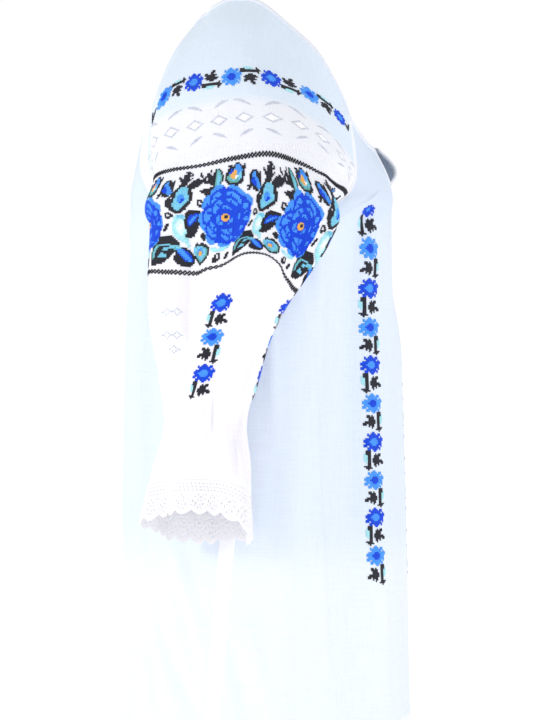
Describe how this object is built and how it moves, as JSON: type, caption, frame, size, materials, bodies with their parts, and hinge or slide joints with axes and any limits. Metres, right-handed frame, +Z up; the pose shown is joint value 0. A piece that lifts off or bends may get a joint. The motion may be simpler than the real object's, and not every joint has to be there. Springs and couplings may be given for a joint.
{
  "type": "embroidered blouse",
  "caption": "Long-sleeved white Romanian ie blouse in the worn pose, with blue and black flower embroidery on sleeves and front and a lace cuff edge.",
  "frame": {"origin": "midpoint between the two side neck points, where the blouse is carried by the shoulders", "axes": "+Z up out of the neck opening, -Y is the way the wearer faces, -X is the wearer's right sleeve"},
  "size_m": [0.4992, 0.2582, 0.6852],
  "materials": {
    "linen_cloth": "sheer plain weave, matt",
    "binding_tape": "folded cotton strip, matt",
    "cotton_lace": "open cotton lace, matt"
  },
  "bodies": {
    "root": {"front_panel": "linen_cloth", "back_panel": "linen_cloth", "sleeve_right": "linen_cloth", "sleeve_left": "linen_cloth", "neck_binding": "binding_tape", "lace_right": "cotton_lace", "lace_left": "cotton_lace"}
  },
  "joints": []
}
